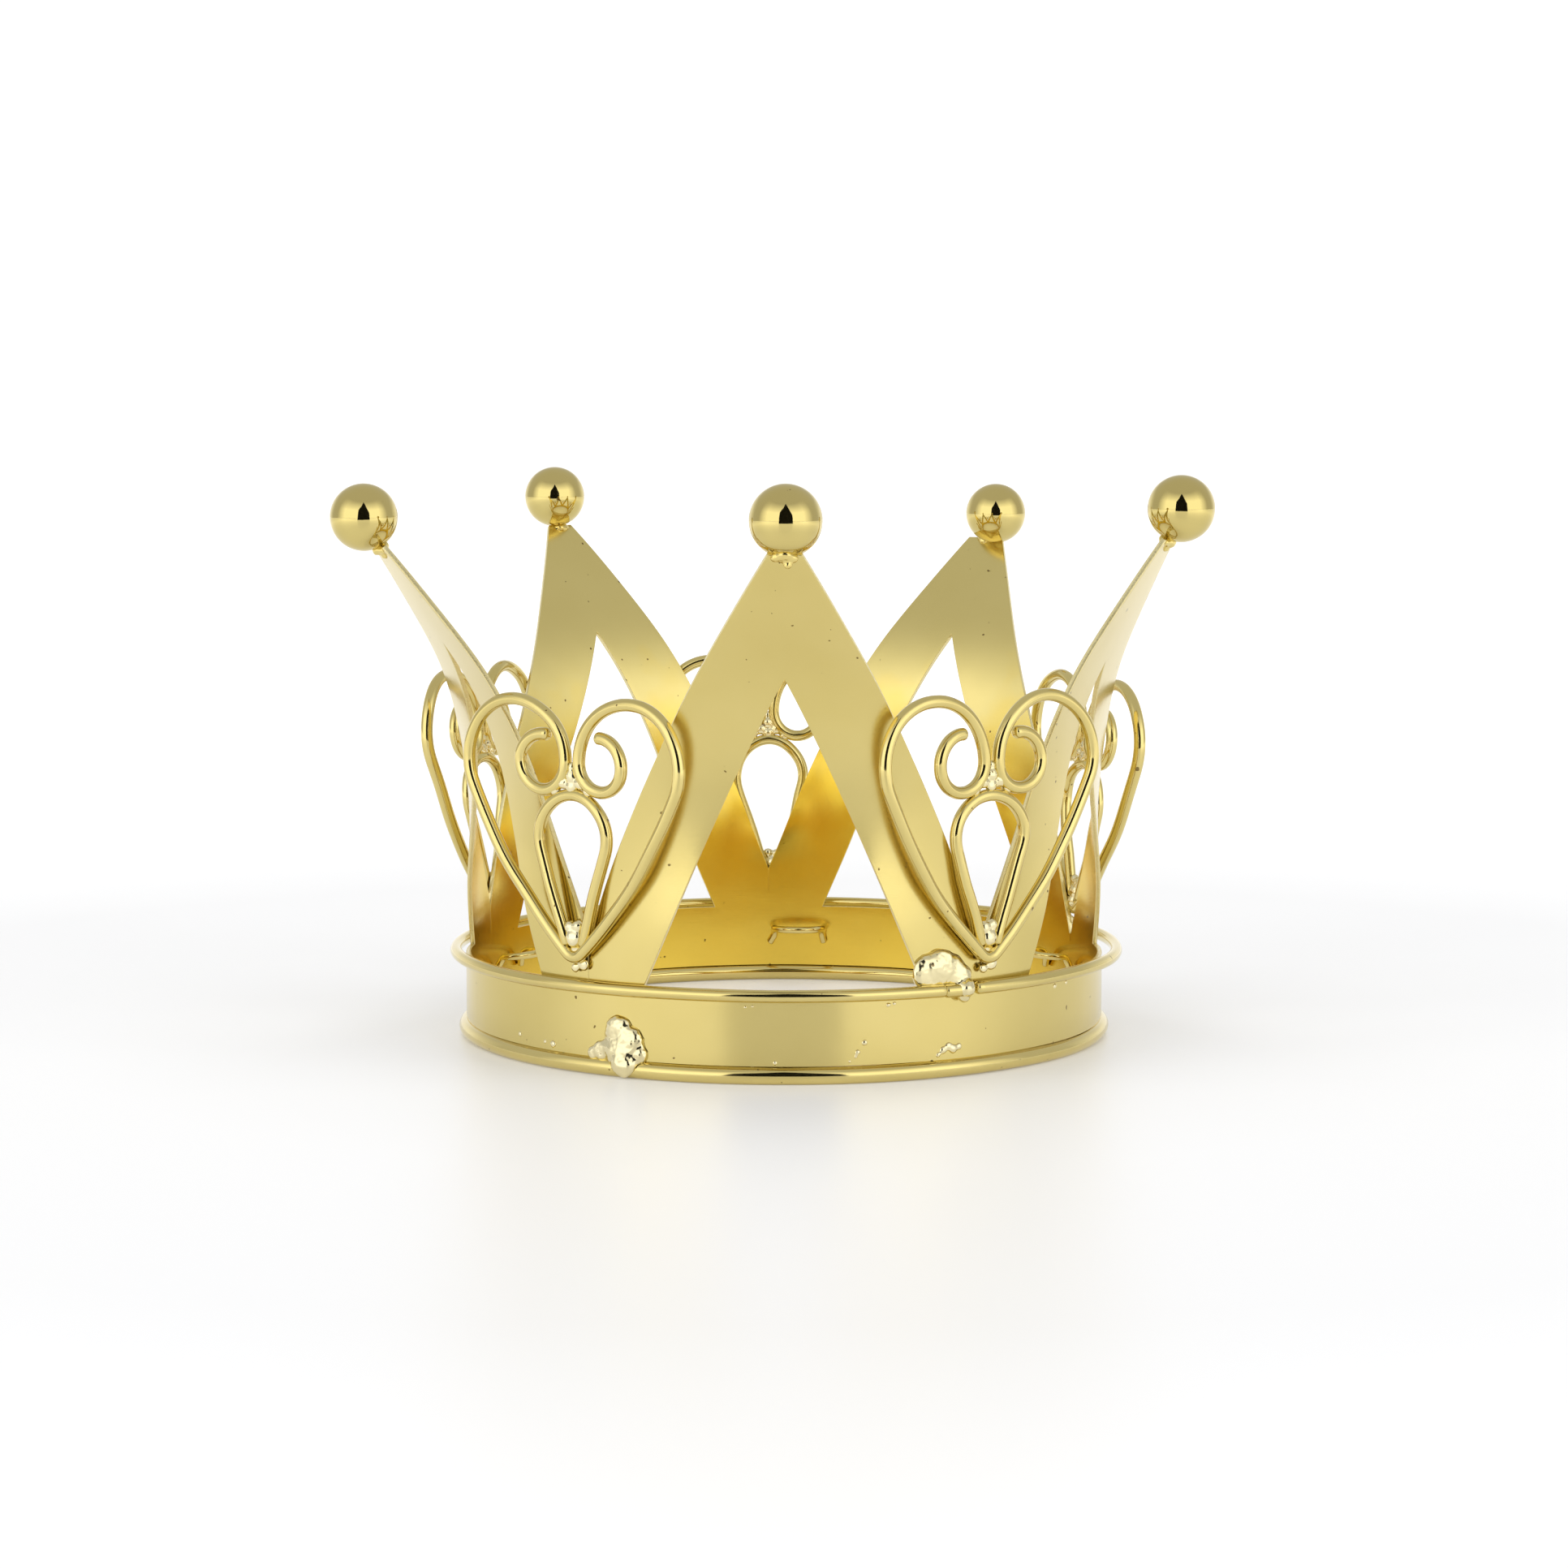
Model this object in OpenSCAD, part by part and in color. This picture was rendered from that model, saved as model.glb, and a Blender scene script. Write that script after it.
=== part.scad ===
// Small wire-and-sheet crown: one cut sheet rolled into a band with five open A-shaped points,
// a wire ring round its top and bottom, five wire hearts, five balls and the solder that holds them.
// Azimuth 0 is the front (-Y) and grows towards +X. The crown stands on z = 0, on its own axis.

/* [Band] */
// Outside radius of the band
band_r = 40; // [38:0.5:42]
// Thickness of the sheet
sheet_t = 0.6; // [0.5:0.1:0.8]
// Height of the band's top edge inside the A openings
band_top = 10.2; // [9.8:0.1:10.6]

/* [Points] */
// Height at which a point starts to bend outwards
bend_z = 34.5; // [33:0.5:36]
// Radius of that bend
bend_r = 25; // [22:1:28]
// Top of the A opening, measured up the sheet
opening_top = 48.8; // [47:0.1:50]
// Half width of the A opening at the band, measured round the band
opening_half = 16.9; // [15:0.1:17.4]

/* [Rings] */
// Wire diameter of the top ring
top_wire = 1.5; // [1.2:0.1:1.6]
// Height of the top ring's centre line
top_ring_z = 10.4; // [10.3:0.05:10.5]
// Wire diameter of the bottom ring
bottom_wire = 2.08; // [2:0.02:2.2]

/* [Hearts] */
// Wire diameter of the hearts
heart_wire = 1.5; // [1.2:0.1:1.5]
// Height of a heart's foot above the base
heart_z = 13.8; // [13.2:0.1:14.4]
// Outward lean of a heart
heart_lean = 3; // [1:0.5:6]

/* [Balls] */
// Ball diameter
ball_d = 8; // [7.6:0.1:8.2]

/* [Eyelets] */
// Wire diameter of the hairpin eyelets
eyelet_wire = 0.84; // [0.7:0.02:0.9]
// Radius of an eyelet's bow
eyelet_r = 3.2; // [2.8:0.1:3.4]
// Height of the eyelets
eyelet_z = 7.3; // [6.5:0.1:7.6]

/* [Hidden] */
$fn = 48;
gold = "#c9b76c";
deep_gold = "#b0922e";
solder_gold = "#e4d49a";
clearance = 0.03;
flat_cut = 0.05;
bottom_r = bottom_wire / 2;
bottom_ring_z = bottom_r - flat_cut;
bottom_ring_r = band_r - 0.15;
sheet_z = bottom_ring_z + bottom_r + clearance;
sheet_mid = band_r - sheet_t / 2;
inner_r = band_r - sheet_t;
// The top ring is rolled a little wide: it touches the band at the front and stands off elsewhere.
top_ring_r = band_r + 1.6;
top_ring_shift = [0.3, top_ring_r - band_r - top_wire / 2 - clearance];
top_gap_az = 31.5;
top_gap_angle = 1.2;
// Points in order round the crown: azimuth of the point, final lean, and the azimuth, radius and
// height of its ball.
points = [
    [0.1, 36.5, 0.2, 52.6, 65.0],
    [71.1, 33.0, 71.8, 50.3, 65.7],
    [146.8, 35.0, 145.8, 51.7, 64.1],
    [217.3, 37.0, 216.4, 53.0, 66.4],
    [289.5, 37.5, 288.7, 53.2, 64.7]
];
tip_drop = 4.6;
// The plate is a grid of cells: rows run up the sheet, columns run round the crown.
plate_rows = [
    sheet_z, 4.8, 7.5, band_top, 12.2, 14.1, 15.4, 18, 22, 26, 30, bend_z,
    37, 40, 43, 46, opening_top, 52, 57, 63.4
];
flank_slope = 0.444;
flank_v = 64;
flank_half = 2.8;
leg_cells = 3;
open_cells = 7;
valley_half = 0.3;
apex_half = 0.35;
sector = 2 * leg_cells + open_cells + 1;
// Azimuths of the front left, front right, back left, back right and back hearts and eyelets.
heart_az = [-36.5, 35.5, -111, 111, 182.2];
eyelet_az = [-36, 36, -112, 112, 177];
heart_r = band_r + heart_wire / 2 + clearance;
// Heart outline, right half, above its foot: leg arc, lobe arc and curl.
leg_c = [-36, 41];
lobe_c = [8.1, 22.35];
lobe_r = 7.1;
leg_r = norm(lobe_c - leg_c) + lobe_r;
lobe_start = atan2(lobe_c[1] - leg_c[1], lobe_c[0] - leg_c[0]);
curl_r = 3;
curl_turn = 275;
foot_r = 1.6;
foot_c = [0, leg_c[1] - sqrt(pow(leg_r - foot_r, 2) - pow(leg_c[0], 2))];
foot_a = atan2(foot_c[1] - leg_c[1], -leg_c[0]);
// Drop outline inside the heart: a round head and two straight legs.
drop_c = [0, 13.75];
drop_r = 4.9;
drop_a = 18;
drop_leg = 9.35;
cleft_w = 20.35;
cleft_bead = 0.7;
foot_w = 2.75;
foot_bead = 1;
heart_sides = 10;
neck_r = 1.7;

function reversed(list) = [for (i = [len(list) - 1:-1:0]) list[i]];

// Upright, pointing out at an azimuth.
module at_azimuth(az) rotate([0, 0, az]) children();

// Radius and height at distance v up a point's centre line, off from the middle of the sheet.
function flare(lean, v, off) =
    let (bend_len = bend_r * lean * PI / 180, a = min(lean, max(0, v - bend_z) * 180 / PI / bend_r))
    let (rest = max(0, v - bend_z - bend_len))
    [
        sheet_mid + bend_r - (bend_r - off) * cos(a) + rest * sin(a),
        min(v, bend_z) + (bend_r - off) * sin(a) + rest * cos(a)
    ];

function outer_half(v) = flank_half + (flank_v - v) * flank_slope;
function inner_half(v) = max(apex_half,
    opening_half * (opening_top - max(v, band_top)) / (opening_top - band_top));

// Arc length from a point's middle to halfway to the next point on one side (1 or -1).
function gap_half(i, side) =
    let (turn = side * (points[(i + side + 5) % 5][0] - points[i][0]))
    (turn + 360) % 360 / 2 * PI / 180 * sheet_mid;
function edge_half(i, side, v) = min(outer_half(v), gap_half(i, side) - valley_half);

// Arc length from the point's middle to column q of its sector.
function column_u(i, q, v) =
    q <= leg_cells ? let (t = q / leg_cells) -edge_half(i, -1, v) * (1 - t) - inner_half(v) * t
    : q < leg_cells + open_cells ? inner_half(v) * (2 * (q - leg_cells) / open_cells - 1)
    : let (t = (q - leg_cells - open_cells) / leg_cells) inner_half(v) * (1 - t) + edge_half(i, 1, v) * t;

function plate_point(i, q, v, off) =
    let (middle = flare(points[i][1], v, 0), place = flare(points[i][1], v, off))
    let (a = points[i][0] + column_u(i, q, v) / middle[0] * 180 / PI)
    [place[0] * sin(a), -place[0] * cos(a), place[1]];

// Whether the plate has metal in the cell above row r and after column c.
function has_metal(r, c) =
    let (all = 5 * sector, i = floor(((c + all) % all) / sector), q = ((c + all) % all) % sector)
    r >= 0 && r < len(plate_rows) - 1 && (
        q == sector - 1 ? outer_half(plate_rows[r + 1]) >= gap_half(i, 1) - valley_half
        : q < leg_cells || q >= leg_cells + open_cells
        || plate_rows[r + 1] <= band_top || plate_rows[r] >= opening_top
    );

function cell_faces(r, c) =
    let (all = 5 * sector, rows = len(plate_rows), d = (c + 1) % all, skin = rows * all)
    let (a = r * all + c, b = r * all + d, e = (r + 1) * all + d, f = (r + 1) * all + c)
    concat(
        [[a, f, e, b], [a + skin, b + skin, e + skin, f + skin]],
        has_metal(r, c - 1) ? [] : [[a, a + skin, f + skin, f]],
        has_metal(r, c + 1) ? [] : [[b, e, e + skin, b + skin]],
        has_metal(r - 1, c) ? [] : [[a, b, b + skin, a + skin]],
        has_metal(r + 1, c) ? [] : [[f, f + skin, e + skin, e]]
    );

module crown_sheet() color(gold)
    polyhedron(
        points = [
            for (off = [sheet_t / 2, -sheet_t / 2], v = plate_rows, i = [0:4], q = [0:sector - 1])
                plate_point(i, q, v, off)
        ],
        faces = [
            for (r = [0:len(plate_rows) - 2], c = [0:5 * sector - 1])
                if (has_metal(r, c)) each cell_faces(r, c)
        ]
    );

// A round wire bent to radius r between two angles, lying flat.
module wire_arc(centre, r, from, to, wire)
    translate([centre[0], centre[1], 0])
        rotate([0, 0, from])
            rotate_extrude(angle = to - from)
                translate([r, 0]) circle(d = wire);

module open_ring(r, wire, gap_az, gap_angle)
    wire_arc([0, 0], r, gap_az - 90 + gap_angle / 2, gap_az + 270 - gap_angle / 2, wire);

module bottom_ring() color(gold)
    difference() {
        translate([0, 0, bottom_ring_z])
            rotate_extrude() translate([bottom_ring_r, 0]) circle(d = bottom_wire);
        translate([0, 0, -1]) cylinder(r = band_r + 5, h = 1);
    }

module top_ring() color(gold)
    translate([top_ring_shift[0], top_ring_shift[1], top_ring_z])
        open_ring(top_ring_r, top_wire, top_gap_az, top_gap_angle);

// Stands a flat outline (x across, y up) on the band's outside at an azimuth, leaning outwards.
module on_band(az)
    at_azimuth(az)
        translate([0, -heart_r, heart_z])
            rotate([heart_lean, 0, 0])
                rotate([90, 0, 0]) children();

// Points along an arc, without its first one.
function arc_points(centre, r, from, to, steps) =
    [for (i = [1:steps]) centre + r * [cos(from + (to - from) * i / steps), sin(from + (to - from) * i / steps)]];

function mirrored(list) = [for (p = list) [-p[0], p[1]]];

// The right half of a heart wire's centre line, from its foot to the end of its curl.
function heart_half() = concat(
    arc_points(foot_c, foot_r, -90, foot_a, 4),
    arc_points(leg_c, leg_r, foot_a, lobe_start, 7),
    arc_points(lobe_c, lobe_r, lobe_start, 180, 15),
    arc_points(lobe_c - [lobe_r - curl_r, 0], curl_r, 180, 180 + curl_turn, 15)
);

// A round wire, as an even-sided tube swept along a flat centre line.
module swept_wire(path, wire, sides) {
    last = len(path) - 1;
    function heading(i) =
        let (d = path[min(i + 1, last)] - path[max(i - 1, 0)]) d / norm(d);
    function ring(i) =
        let (t = heading(i))
        [for (k = [0:sides - 1])
            let (a = 360 * k / sides, out = wire / 2 * cos(a))
            [path[i][0] - t[1] * out, path[i][1] + t[0] * out, wire / 2 * sin(a)]];
    polyhedron(
        points = [for (i = [0:last]) each ring(i)],
        faces = concat(
            [[for (k = [0:sides - 1]) k]],
            [for (i = [0:last - 1], k = [0:sides - 1])
                let (n = (k + 1) % sides)
                [i * sides + k, (i + 1) * sides + k, (i + 1) * sides + n, i * sides + n]],
            [[for (k = [sides - 1:-1:0]) last * sides + k]]
        )
    );
}

module heart_scroll(az) color(gold)
    on_band(az)
        swept_wire(
            concat(reversed(mirrored(heart_half())), [foot_c - [0, foot_r]], heart_half()),
            heart_wire, heart_sides
        );

module drop_leg()
    translate([drop_c[0], drop_c[1], 0])
        rotate([0, 0, -drop_a])
            translate([drop_r, 0, 0])
                rotate([90, 0, 0]) cylinder(d = heart_wire, h = drop_leg);

module heart_drop(az) color(gold)
    on_band(az)
        union() {
            wire_arc(drop_c, drop_r, -drop_a, 180 + drop_a, heart_wire);
            drop_leg();
            mirror([1, 0, 0]) drop_leg();
        }

module ball_at(p) at_azimuth(p[2]) translate([0, -p[3], p[4]]) sphere(d = ball_d);

module ball(i) color(gold) ball_at(points[i]);

// A wire bow standing in from the band, with its two ends bent down along the sheet.
module eyelet(az) color(deep_gold) {
    bow_y = inner_r - eyelet_wire / 2 - 0.1;
    at_azimuth(az)
        translate([0, -bow_y, eyelet_z])
            union() {
                wire_arc([0, 0.7], eyelet_r, 0, 180, eyelet_wire);
                for (side = [-1, 1])
                    translate([side * eyelet_r, 0, 0]) {
                        rotate([-90, 0, 0]) cylinder(d = eyelet_wire, h = 0.7);
                        sphere(d = eyelet_wire);
                        translate([0, 0, -1.8]) cylinder(d = eyelet_wire, h = 1.8);
                    }
            }
}

module solder_ball_necks() color(solder_gold)
    for (p = points)
        difference() {
            at_azimuth(p[2])
                translate([0, -p[3] + 0.3, p[4] - tip_drop + clearance])
                    cylinder(r = neck_r, h = 1.6);
            ball_at(p);
        }

module solder_heart_clefts() color(solder_gold)
    for (az = heart_az) on_band(az) translate([0, cleft_w, 0]) sphere(r = cleft_bead);

module solder_heart_feet() color(solder_gold)
    for (az = heart_az) on_band(az) translate([0, foot_w, 0]) sphere(r = foot_bead);

// A round pad of solder on the outside of the sheet.
module solder_pad(az, z, r, h) color(solder_gold)
    at_azimuth(az)
        translate([0, -band_r - clearance, z]) rotate([90, 0, 0]) cylinder(r = r, h = h);

crown_sheet();
bottom_ring();
top_ring();
heart_scroll(heart_az[0]);  // heart_scroll_front_left
heart_scroll(heart_az[1]);  // heart_scroll_front_right
heart_scroll(heart_az[2]);  // heart_scroll_back_left
heart_scroll(heart_az[3]);  // heart_scroll_back_right
heart_scroll(heart_az[4]);  // heart_scroll_back
heart_drop(heart_az[0]);  // heart_drop_front_left
heart_drop(heart_az[1]);  // heart_drop_front_right
heart_drop(heart_az[2]);  // heart_drop_back_left
heart_drop(heart_az[3]);  // heart_drop_back_right
heart_drop(heart_az[4]);  // heart_drop_back
ball(0);  // ball_front
ball(4);  // ball_left
ball(1);  // ball_right
ball(3);  // ball_back_left
ball(2);  // ball_back_right
eyelet(eyelet_az[0]);  // eyelet_front_left
eyelet(eyelet_az[1]);  // eyelet_front_right
eyelet(eyelet_az[2]);  // eyelet_back_left
eyelet(eyelet_az[3]);  // eyelet_back_right
eyelet(eyelet_az[4]);  // eyelet_back
solder_ball_necks();
solder_heart_clefts();
solder_heart_feet();
solder_pad(26.5, 13.4, 2, 0.9);  // solder_top_ring_joint
solder_pad(-27.5, 4.8, 2.4, 1);  // solder_bottom_ring_joint
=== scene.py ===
"""Studio scene of a small gold-plated wire-and-sheet crown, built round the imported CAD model.

Lengths inside the helpers are millimetres; MM turns them into Blender's metres. Azimuth 0 is the
front of the crown (-Y) and grows towards +X.
"""
import math

import bmesh
import bpy
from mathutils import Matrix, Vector, noise


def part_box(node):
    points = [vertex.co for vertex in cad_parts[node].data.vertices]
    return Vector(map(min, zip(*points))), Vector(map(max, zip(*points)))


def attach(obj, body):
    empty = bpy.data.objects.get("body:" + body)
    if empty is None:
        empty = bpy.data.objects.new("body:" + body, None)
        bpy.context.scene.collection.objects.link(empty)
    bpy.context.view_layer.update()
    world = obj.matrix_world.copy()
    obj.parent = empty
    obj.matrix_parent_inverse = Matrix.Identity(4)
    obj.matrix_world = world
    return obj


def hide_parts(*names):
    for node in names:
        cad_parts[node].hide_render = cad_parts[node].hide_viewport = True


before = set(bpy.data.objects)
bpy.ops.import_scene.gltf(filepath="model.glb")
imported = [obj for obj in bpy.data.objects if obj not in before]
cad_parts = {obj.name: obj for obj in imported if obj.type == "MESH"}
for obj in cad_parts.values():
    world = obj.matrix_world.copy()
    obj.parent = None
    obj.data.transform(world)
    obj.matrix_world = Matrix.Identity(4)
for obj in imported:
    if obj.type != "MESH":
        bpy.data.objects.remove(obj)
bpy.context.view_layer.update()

MM = 0.001
SHEET_MID = 39.7          # radius of the middle of the band's sheet
SHEET_T = 0.6
TURN = 2 * math.pi * SHEET_MID
SHEET_FOOT = 2.06         # the sheet stands on the bottom ring
BAND_TOP = 10.2
HEART_WIRE = 0.75         # wire radii
TOP_WIRE = 0.75
BOTTOM_WIRE = 1.04
TOP_RING_R, TOP_RING_Z = 41.6, 10.4
BOTTOM_RING_R, BOTTOM_RING_Z = 39.85, 1.02
EYELET_WIRE = 0.46
BALL_R = 4.06

# Points: name, azimuth of the foot, azimuth of the ball, change of lean, top of the A opening, and
# the length of the point up the sheet.
POINTS = [
    ("front", 0.0, 0.1, 0.2, 47.9, 65.9),
    ("right", 70.4, 71.5, -8.9, 47.6, 64.5),
    ("back_right", 147.9, 147.6, -1.3, 48.6, 64.5),
    ("back_left", -141.7, -144.0, -2.8, 49.0, 66.25),
    ("left", -69.7, -71.0, -3.3, 50.6, 64.75),
]
# Lean of a point's centre line against distance up the sheet, in degrees.
LEAN = [(10, 0), (20, -6), (30, -1), (40, 16), (50, 34), (60, 38), (70, 42)]
CURVE_STEP = 0.25         # of a point's centre line
CURVE_LENGTH = 72
BEND_START = 12           # distance up the sheet where it leaves the band's circle
FLATTENING = 0.78         # share of the band's roundness that a point loses on its way up
TIP_HALF = 2.8            # half width of a point at 64 mm up the sheet
SIDE_SLOPE = 0.4436
OPENING_HALF = 16.9       # half width of the A opening at the band
LEG_COLUMNS = 9           # quads across a leg, across the band under an opening, and up the sheet
OPENING_COLUMNS = 24
BAND_ROWS, LEG_ROWS, TIP_ROWS = 6, 52, 24


def smooth(t):
    t = min(1.0, max(0.0, t))
    return t * t * (3 - 2 * t)


def spline(knots, x):
    """Catmull-Rom through evenly spaced knots."""
    step = knots[1][0] - knots[0][0]
    f = min(max((x - knots[0][0]) / step, 0.0), len(knots) - 1.001)
    k = int(f)
    t = f - k
    y = [knots[min(max(k + d, 0), len(knots) - 1)][1] for d in (-1, 0, 1, 2)]
    return 0.5 * (2 * y[1] + (y[2] - y[0]) * t + (2 * y[0] - 5 * y[1] + 4 * y[2] - y[3]) * t * t
                  + (3 * y[1] - y[0] - 3 * y[2] + y[3]) * t * t * t)


def around(az, r, z):
    a = math.radians(az)
    return Vector((r * math.sin(a), -r * math.cos(a), z))


def outward(az):
    return around(az, 1, 0)


def across(az):
    a = math.radians(az)
    return Vector((math.cos(a), math.sin(a), 0))


# ---------------------------------------------------------------- mesh helpers
def add_mesh(name, verts, faces, materials, body="root"):
    mesh = bpy.data.meshes.new(name)
    mesh.from_pydata([tuple(v * MM) for v in verts], [], faces)
    mesh.validate()
    mesh.update()
    obj = bpy.data.objects.new(name, mesh)
    bpy.context.collection.objects.link(obj)
    for m in materials:
        mesh.materials.append(m)
    for p in mesh.polygons:
        p.use_smooth = True
    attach(obj, body)
    return obj


def tube(path, radius, sides=18, closed=False):
    """A round wire swept along a path, with rounded ends; radius may be a function of 0..1."""
    rad = radius if callable(radius) else (lambda t: radius)
    n = len(path)
    tangents = []
    for i in range(n):
        a = path[(i - 1) % n] if closed or i > 0 else path[0]
        b = path[(i + 1) % n] if closed or i < n - 1 else path[-1]
        tangents.append((b - a).normalized())
    normal = tangents[0].orthogonal().normalized()
    rings = []
    for i in range(n):
        t = tangents[i]
        normal = (normal - t * normal.dot(t)).normalized()
        rings.append((path[i], t, normal.copy(), rad(i / (n - 1))))
    if not closed:
        caps = []
        for end, sign in ((0, -1), (-1, 1)):
            c, t, nn, r = rings[end]
            caps.append([(c + t * sign * r * 0.55 * math.sin(a), t, nn, r * math.cos(a))
                         for a in (0.5, 0.95, 1.3)])
        rings = caps[0][::-1] + rings + caps[1]
    verts, faces = [], []
    for c, t, nn, r in rings:
        side = t.cross(nn)
        for k in range(sides):
            a = 2 * math.pi * k / sides
            verts.append(c + nn * r * math.cos(a) + side * r * math.sin(a))
    m = len(rings)
    for i in range(m if closed else m - 1):
        for k in range(sides):
            a, b = i * sides, ((i + 1) % m) * sides
            k2 = (k + 1) % sides
            faces.append((a + k, a + k2, b + k2, b + k))
    if not closed:
        faces.append(tuple(range(sides))[::-1])
        faces.append(tuple(range((m - 1) * sides, m * sides)))
    return verts, faces


def joined(parts):
    verts, faces = [], []
    for v, f in parts:
        base = len(verts)
        verts += v
        faces += [tuple(i + base for i in face) for face in f]
    return verts, faces


def blob(name, lumps, material, voxel, roughen, seed, smoothing):
    """Solder: lumps (centre, radius, squash, axis of the squash) remeshed into smooth masses."""
    bm = bmesh.new()
    for centre, r, squash, axis in lumps:
        out = bmesh.ops.create_icosphere(bm, subdivisions=3, radius=r)
        axis = axis.normalized()
        for v in out["verts"]:
            v.co = centre + v.co + axis * v.co.dot(axis) * (squash - 1)
    for v in bm.verts:
        v.co *= MM
    mesh = bpy.data.meshes.new(name)
    bm.to_mesh(mesh)
    bm.free()
    obj = bpy.data.objects.new(name, mesh)
    bpy.context.collection.objects.link(obj)
    remesh = obj.modifiers.new("remesh", "REMESH")
    remesh.mode = "VOXEL"
    remesh.voxel_size = voxel * MM
    soft = obj.modifiers.new("soft", "SMOOTH")
    soft.iterations = smoothing
    soft.factor = 0.6
    depsgraph = bpy.context.evaluated_depsgraph_get()
    baked = bpy.data.meshes.new_from_object(obj.evaluated_get(depsgraph))
    obj.modifiers.clear()
    obj.data = baked
    # All normals are read before the first vertex moves, which would make them out of date.
    normals = [v.normal.copy() for v in baked.vertices]
    for v, normal in zip(baked.vertices, normals):
        p = v.co / MM
        d = noise.noise(p * 0.9 + Vector((seed, 0, 0))) * roughen * 2.5
        d += noise.noise(p * 2.3 + Vector((0, seed, 0))) * roughen
        v.co += normal * d * MM
    baked.materials.append(material)
    for p in baked.polygons:
        p.use_smooth = True
    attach(obj, "root")
    return obj


# ---------------------------------------------------------------- materials
def grey(*stops):
    """Stops of a colour ramp from (position, brightness) pairs."""
    return [(position, (value,) * 3) for position, value in stops]


class Nodes:
    """A few short calls for building the node tree of a material or a world."""

    def __init__(self, owner):
        self.owner = owner
        owner.use_nodes = True
        self.tree = owner.node_tree
        self.shader = self.tree.nodes.get("Principled BSDF")

    def add(self, kind, **values):
        node = self.tree.nodes.new(kind)
        for key, value in values.items():
            setattr(node, key, value)
        return node

    def link(self, a, b):
        self.tree.links.new(a, b)

    def math(self, op, a, b=None, clamp=False):
        node = self.add("ShaderNodeMath", operation=op, use_clamp=clamp)
        for i, value in enumerate((a, b)):
            if value is None:
                continue
            if isinstance(value, (int, float)):
                node.inputs[i].default_value = value
            else:
                self.link(value, node.inputs[i])
        return node.outputs[0]

    def multiply_add(self, a, factor, term):
        node = self.math("MULTIPLY_ADD", a, factor).node
        node.inputs[2].default_value = term
        return node.outputs[0]

    def combine(self, x, y, z):
        node = self.add("ShaderNodeCombineXYZ")
        for i, value in enumerate((x, y, z)):
            if isinstance(value, (int, float)):
                node.inputs[i].default_value = value
            else:
                self.link(value, node.inputs[i])
        return node.outputs[0]

    def noise(self, vector, scale, detail=2.0, rough=0.5):
        node = self.add("ShaderNodeTexNoise")
        node.inputs["Scale"].default_value = scale
        node.inputs["Detail"].default_value = detail
        node.inputs["Roughness"].default_value = rough
        self.link(vector, node.inputs["Vector"])
        return node.outputs["Fac"]

    def ramp(self, value, stops):
        node = self.add("ShaderNodeValToRGB")
        node.color_ramp.elements[0].position = stops[0][0]
        node.color_ramp.elements[0].color = (*stops[0][1], 1)
        node.color_ramp.elements[1].position = stops[-1][0]
        node.color_ramp.elements[1].color = (*stops[-1][1], 1)
        for pos, col in stops[1:-1]:
            e = node.color_ramp.elements.new(pos)
            e.color = (*col, 1)
        self.link(value, node.inputs["Fac"])
        return node.outputs["Color"]

    def mix(self, factor, a, b):
        node = self.add("ShaderNodeMix", data_type="RGBA")
        for value, key in ((factor, 0), (a, 6), (b, 7)):
            if isinstance(value, (int, float)):
                node.inputs[key].default_value = value
            elif isinstance(value, tuple):
                node.inputs[key].default_value = (*value, 1)
            else:
                self.link(value, node.inputs[key])
        return node.outputs[2]

    def bump(self, height, strength, distance, normal=None):
        """distance is in millimetres."""
        node = self.add("ShaderNodeBump")
        node.inputs["Strength"].default_value = strength
        node.inputs["Distance"].default_value = distance * MM
        self.link(height, node.inputs["Height"])
        if normal is not None:
            self.link(normal, node.inputs["Normal"])
        return node.outputs["Normal"]

    def position(self):
        """The object's own coordinates in millimetres, plus arc length round the crown."""
        coords = self.add("ShaderNodeTexCoord").outputs["Object"]
        scale = self.add("ShaderNodeVectorMath", operation="SCALE")
        scale.inputs["Scale"].default_value = 1 / MM
        self.link(coords, scale.inputs[0])
        split = self.add("ShaderNodeSeparateXYZ")
        self.link(scale.outputs[0], split.inputs[0])
        x, y, z = split.outputs
        arc = self.math("MULTIPLY", self.math("ARCTAN2", x, self.math("MULTIPLY", y, -1.0)), 40.0)
        return scale.outputs[0], arc, z


# Painted reflection colour: the amber that light takes on after bouncing between gold faces.
PAINTED_BOUNCE_AMBER = (0.84, 0.585, 0.055)
PIT_BROWN = (0.12, 0.06, 0.015)


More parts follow.
